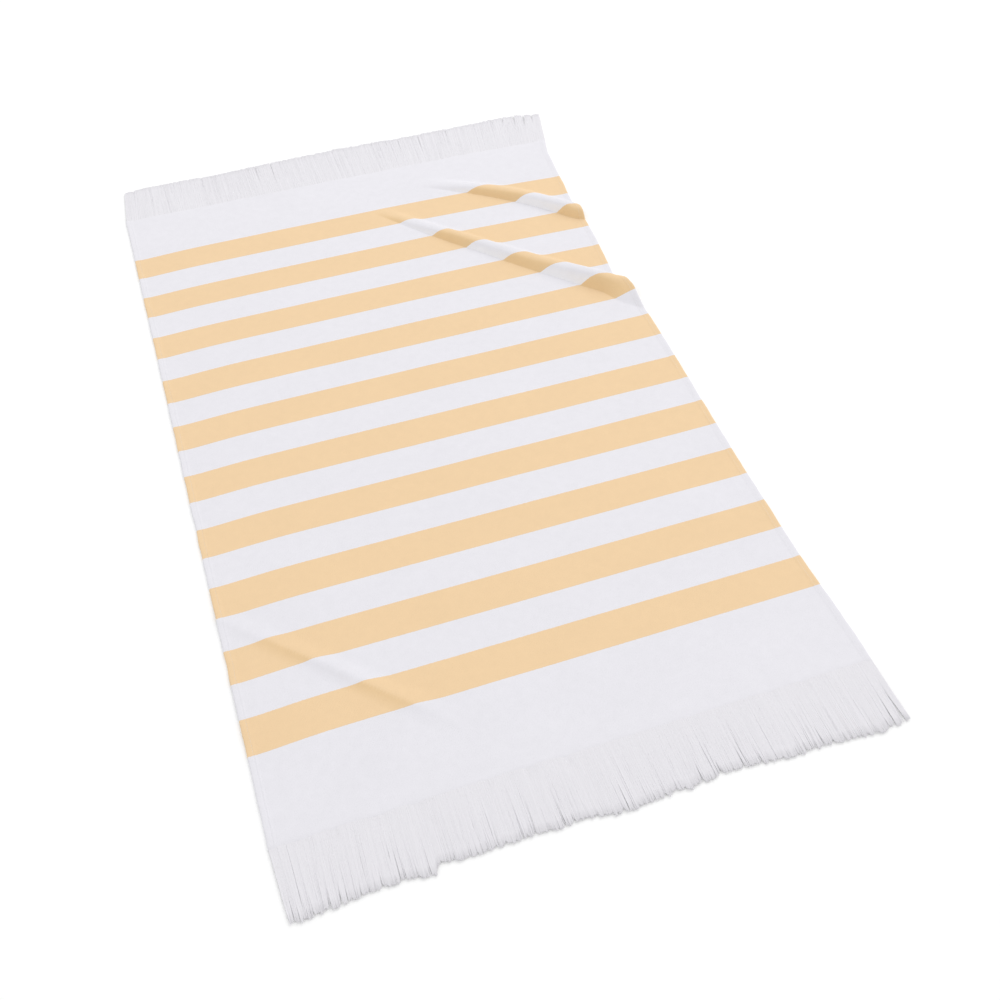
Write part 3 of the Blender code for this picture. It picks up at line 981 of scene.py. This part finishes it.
def laid_yarns(nodes, given, yarns, along, radius):
    """The straight yarns with each point moved to where it lies on the floor."""
    root = recalled(nodes, "root", "FLOAT_VECTOR")
    place = parted(nodes, root).out("X")
    shift = given.out("Seed") * SEED_SHIFT
    tuft, tuft_lean, tuft_reach = cell(nodes, place, given.out("Tuft Width"), shift)
    lock, lock_lean, lock_reach = cell(nodes, place, given.out("Lock Width"), shift + LOCK_SHIFT)
    wisp, wisp_lean, wisp_reach = cell(nodes, place, given.out("Wisp Width"), shift + WISP_SHIFT)

    looseness = given.out("Looseness")
    late = along**LEAN_POWER
    sideways = (tuft - place) * given.out("Gather") * late + (lock - place) * LOCK_GATHER * late
    sideways += (lock_lean - 0.5) * LOCK_LEAN * along**LOCK_POWER + (tuft_lean - 0.5) * TUFT_LEAN * late
    wisp_sideways = (wisp_lean - 0.5) * WISP_LEAN * late + (wisp - place) * WISP_GATHER * along**WISP_POWER
    sideways += looseness * wisp_sideways
    free = (recalled(nodes, "layer") / HELD_LAYERS).ease()
    sideways = sideways * (HELD_SHARE + (1.0 - HELD_SHARE) * free)
    sideways += recalled(nodes, "push") * along**PUSH_POWER
    weave = joined(nodes, recalled(nodes, "yarn") * RIPPLE_ACROSS, along * RIPPLE_ALONG)
    ripple = {"Vector": weave, "Scale": 1.0, "Detail": 1.0}
    ripple = nodes.add("ShaderNodeTexNoise", {"noise_dimensions": "2D"}, ripple)
    stray = (ripple - 0.5) * RIPPLE_SIDEWAYS * along + recalled(nodes, "wander") * STRAY_LEAN * late
    sideways += looseness * stray

    off_middle = (tuft - place) / given.out("Tuft Width") * CROWN_NARROW
    crown = (1.0 - off_middle * off_middle).clip() * given.out("Crown")
    loose = ((along - ROOT_SHARE) / LOOSE_BY).ease() * looseness
    level = ROOT_LEVEL + (recalled(nodes, "layer") ** LEVEL_POWER - ROOT_LEVEL) * loose
    height = level * given.out("Depth") * (1.0 - TIP_THINNING * along)
    height += crown * ((along - ROOT_SHARE) / CROWN_BY).ease()
    height += looseness * (ripple - RIPPLE_LOW).clip() * RIPPLE_UP * along
    leaving = 1.0 - ((along - ROOT_SHARE * DIP_UNTIL) / DIP_FADE).ease()
    dip = DIP_DEPTH * recalled(nodes, "dip") * leaving * ((along / ROOT_SHARE) - DIP_START).clip()
    height = height * (1.0 - dip)
    height += radius * YARN_FLAT + recalled(nodes, "lift") * (1.0 - (along / LIFT_BY).ease())

    length = 1.0 + recalled(nodes, "stretch") + (lock_reach - LOCK_MIDDLE) * LOCK_REACH
    off_wisp = (wisp - place) / given.out("Wisp Width")
    uneven = (tuft_reach - 0.5) * TUFT_REACH + (wisp_reach - 0.5) * WISP_REACH
    length += looseness * (uneven - off_wisp * off_wisp * WISP_POINT)
    forward = recalled(nodes, "run", "FLOAT_VECTOR") * (along * length)
    goal = root + forward + joined(nodes, sideways, 0.0, height)
    return nodes.add("GeometryNodeSetPosition", {}, {"Geometry": yarns, "Position": goal})


print(f"A yarn's first {ROOT_SHARE:.0%} lie under the cloth's edge")

# %% The fringe tree
YARN_SIDES = 5
YARN_WIDE = 1.35
TAPER, TAPER_FROM = 0.3, 0.86
TIP_SHADE_FROM = 0.978
YARN_CELLS = (256.0, 9.0)


def fringe_tree():
    """The whole tree: straight yarns, laid down, with a flattened round profile along each."""
    nodes, given = geometry_tree("fringe_yarns", FRINGE_INPUTS)
    yarns = straight_yarns(nodes, given)
    along = recalled(nodes, "along")
    radius = given.out("Radius") * recalled(nodes, "thick")
    yarns = laid_yarns(nodes, given, yarns, along, radius)
    yarns = nodes.add("GeometryNodeSetCurveNormal", {"mode": "Z_UP"}, {"Curve": yarns})

    circle = {"Resolution": YARN_SIDES, "Radius": 1.0}
    profile = nodes.add("GeometryNodeCurvePrimitiveCircle", {"mode": "RADIUS"}, circle)
    profile = stored(nodes, profile, "around", nodes.add("GeometryNodeSplineParameter"))
    flattened = {"Geometry": profile, "Scale": (YARN_WIDE, YARN_FLAT, 1.0)}
    profile = nodes.add("GeometryNodeTransform", {}, flattened)
    taper = 1.0 - TAPER * ((along - TAPER_FROM) / (1.0 - TAPER_FROM)).clip()
    # The last stretch of each yarn, scaled by the looseness, marks where the finish paints shade at the tip
    tip_shade = ((along - TIP_SHADE_FROM) / (1.0 - TIP_SHADE_FROM)).clip() * given.out("Looseness")
    yarns = stored(nodes, yarns, "tip_shade", tip_shade)
    tubes = nodes.add(
        "GeometryNodeCurveToMesh",
        {},
        {"Curve": yarns, "Profile Curve": profile, "Scale": radius * taper, "Fill Caps": True},
    )
    around = recalled(nodes, "around")
    finished(nodes, given, tubes, bake_cell(nodes, recalled(nodes, "yarn"), around, along, *YARN_CELLS))
    return nodes.tree


yarn_tree = fringe_tree()
print("The fringe tree has", len(yarn_tree.nodes), "nodes")

# %% [markdown]
# ## The fringe's cotton
#
# Loose yarn is the same cotton without the pile. Each yarn has a tone of its own and a fine grain along its
# length, and its last stretch is painted darker: painted shade, where the yarn ends lie in shadow. It has
# more sheen than the pile, so its colour is a touch deeper, and the two look alike side by side.

# %% Finish and grow the fringes
FRINGE_WHITE = (0.802, 0.789, 0.824)
YARN_GLOSS = {"Sheen Weight": 0.25, "Sheen Roughness": 0.5, "Specular IOR Level": 0.25}
GRAIN_PER_METRE = 700.0
YARN_TONE = 0.985
OWN_TONE = 0.03
GRAIN_TONE = 0.06
YARN_ROUGHNESS = 0.9
GRAIN_ROUGHNESS = 0.1
GRAIN_HEIGHT = 0.0003
YARN_BUMP = 0.4
TIP_PAINTED_SHADE = 0.13


def fringe_cotton():
    """Loose warp yarn, matt, with painted shade at its tip."""
    material, shader = plain_material("fringe_cotton", FRINGE_WHITE, YARN_GLOSS)
    nodes = Tree(material.node_tree)
    place = nodes.add("ShaderNodeTexCoord").out("Object")
    own, tip_shade = painted(nodes, "tone"), painted(nodes, "tip_shade")
    grain = noise_of(nodes, place, GRAIN_PER_METRE) - 0.5
    # Painted shade: each yarn is darker towards its tip, where the ends lie in shadow
    tone = (YARN_TONE + own * OWN_TONE + grain * GRAIN_TONE) * (1.0 - TIP_PAINTED_SHADE * tip_shade)
    nodes.feed(toned(nodes, FRINGE_WHITE, tone), shader, "Base Color")
    nodes.feed(YARN_ROUGHNESS + grain * GRAIN_ROUGHNESS, shader, "Roughness")
    nodes.feed(bumped(nodes, grain, YARN_BUMP, GRAIN_HEIGHT), shader, "Normal")
    return material


FRINGE_VALUES = {
    "Yarns": 2200,
    "Radius": 0.00064,
    "Depth": 0.0020,
    "Crown": 0.0003,
    "Gather": 0.028,
    "Tuft Width": 0.013,
    "Lock Width": 0.050,
    "Wisp Width": 0.0075,
    "Looseness": 0.85,
    "Seed": 4,
    "Material": fringe_cotton(),
}
FAR_VALUES = {**FRINGE_VALUES, "Crown": 0.0001, "Gather": 0.015, "Looseness": 0.35, "Seed": 11}
fringe_far = grown(far_guide, yarn_tree, FAR_VALUES, "far_yarns")
fringe_near = grown(near_guide, yarn_tree, FRINGE_VALUES, "near_yarns")
for piece in (fringe_far, fringe_near):
    print(piece.name, "has", triangle_count(piece), "triangles")

# %% [markdown]
# ## The stitches
#
# A line of lockstitch holds the hem of each long side. A stitch is a short bead of thread, pulled into the
# pile at both of its ends. Again one small shape is copied along a guide. The guide runs over the cloth's
# upper side, so it needs that side's direction at each point: two small steps on the laid cloth give it.

# %% Guides for the seams
SEAM_STEP = 0.004
SEAM_END_INSET = 0.004


def upper_side(x, y):
    """Places on the cloth's upper side, and the direction that points out of it."""
    along_x = lay(x + NUDGE, y) - lay(x - NUDGE, y)
    along_y = lay(x, y + NUDGE) - lay(x, y - NUDGE)
    out = np.cross(along_x, along_y)
    out /= np.linalg.norm(out, axis=1)[:, None]
    return lay(x, y) + out * (HEM_THICKNESS * thickness_share(x, y))[:, None], out


def seam(name, side):
    """The seam of one long side, -1 for the left one, as a line on the cloth's upper side."""
    half = LENGTH / 2 - SEAM_END_INSET
    y = np.linspace(-half, half, round(2 * half / SEAM_STEP) + 1)
    places, out = upper_side(np.full(len(y), side * (WIDTH / 2 - HEM_SEAM)), y)
    return line_of(name, places, out=out)


SEAMS = {"left_stitches": -1, "right_stitches": 1}
seam_guides = {name: seam(name + "_guide", side) for name, side in SEAMS.items()}
print(len(seam_guides), "seams")

# %% The stitch tree
STITCH_INPUTS = {**dict.fromkeys(("Pitch", "Length", "Thread"), "Float"), "Material": "Material"}
BEAD_SEGMENTS = 6
BEAD_RINGS = 4
STITCH_CELLS = (24.0, 24.0)


def stitch_tree():
    """A bead for each stitch, turned along the seam and squarely onto the cloth."""
    nodes, given = geometry_tree("seam_stitches", STITCH_INPUTS)
    path = nodes.add("GeometryNodeMeshToCurve", {}, {"Mesh": given.out("Geometry")})
    spacing = {"Curve": path, "Length": given.out("Pitch")}
    holes = nodes.add("GeometryNodeResampleCurve", {"mode": "LENGTH"}, spacing)
    holes = stored(nodes, holes, "stitch", nodes.add("GeometryNodeInputIndex"))
    ball = {"Segments": BEAD_SEGMENTS, "Rings": BEAD_RINGS, "Radius": 0.5}
    ball = nodes.add("GeometryNodeMeshUVSphere", {}, ball)
    bead = stored(nodes, ball, "spot", ball.out("UV Map"), "FLOAT2", "CORNER")
    tangent = {"Vector": nodes.add("GeometryNodeInputTangent")}
    turned = nodes.add("FunctionNodeAlignRotationToVector", {"axis": "X"}, tangent)
    turned = nodes.add(
        "FunctionNodeAlignRotationToVector",
        {"axis": "Z", "pivot_axis": "X"},
        {"Rotation": turned, "Vector": recalled(nodes, "out", "FLOAT_VECTOR")},
    )
    size = joined(nodes, given.out("Length"), given.out("Thread"), given.out("Thread"))
    placed = {"Points": holes, "Instance": bead, "Rotation": turned, "Scale": size}
    beads = nodes.add("GeometryNodeInstanceOnPoints", {}, placed)
    beads = nodes.add("GeometryNodeRealizeInstances", {}, {"Geometry": beads})
    spot = parted(nodes, recalled(nodes, "spot", "FLOAT_VECTOR"))
    number = recalled(nodes, "stitch")
    finished(nodes, given, beads, bake_cell(nodes, number, spot.out("X"), spot.out("Y"), *STITCH_CELLS))
    return nodes.tree


print("The stitch tree takes", ", ".join(STITCH_INPUTS))

# %% Finish and sew the stitches
THREAD_GLOSS = {"Roughness": 0.75, "Sheen Weight": 0.1}
TWIST_PER_METRE = 1500.0
TWIST_TONE = 0.1
TWIST_HEIGHT = 0.0001


def sewing_thread():
    """White thread, a little smoother than the pile, with the grain of its twist."""
    material, shader = plain_material("sewing_thread", WHITE, THREAD_GLOSS)
    nodes = Tree(material.node_tree)
    place = nodes.add("ShaderNodeTexCoord").out("Object")
    twist = noise_of(nodes, place, TWIST_PER_METRE) - 0.5
    nodes.feed(toned(nodes, WHITE, 1.0 + twist * TWIST_TONE), shader, "Base Color")
    nodes.feed(bumped(nodes, twist, YARN_BUMP, TWIST_HEIGHT), shader, "Normal")
    return material


seam_tree = stitch_tree()
STITCH_VALUES = {"Pitch": 0.0045, "Length": 0.0034, "Thread": 0.00042, "Material": sewing_thread()}
stitches = [grown(line, seam_tree, STITCH_VALUES, name) for name, line in seam_guides.items()]
for piece in stitches:
    print(piece.name, "has", triangle_count(piece), "triangles")

# %% [markdown]
# ## Every piece on the towel's body
#
# Every piece rides on the towel's one body. The cloth and the two fringes stand for their solids, which are
# hidden.

# %% Attach the pieces
for piece, node, finish in (
    (cloth, "towel_cloth", "towel_cotton"),
    (fringe_far, "fringe_far", "fringe_cotton"),
    (fringe_near, "fringe_near", "fringe_cotton"),
):
    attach(piece, "root")
    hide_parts(node)
for piece in stitches:
    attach(piece, "root")
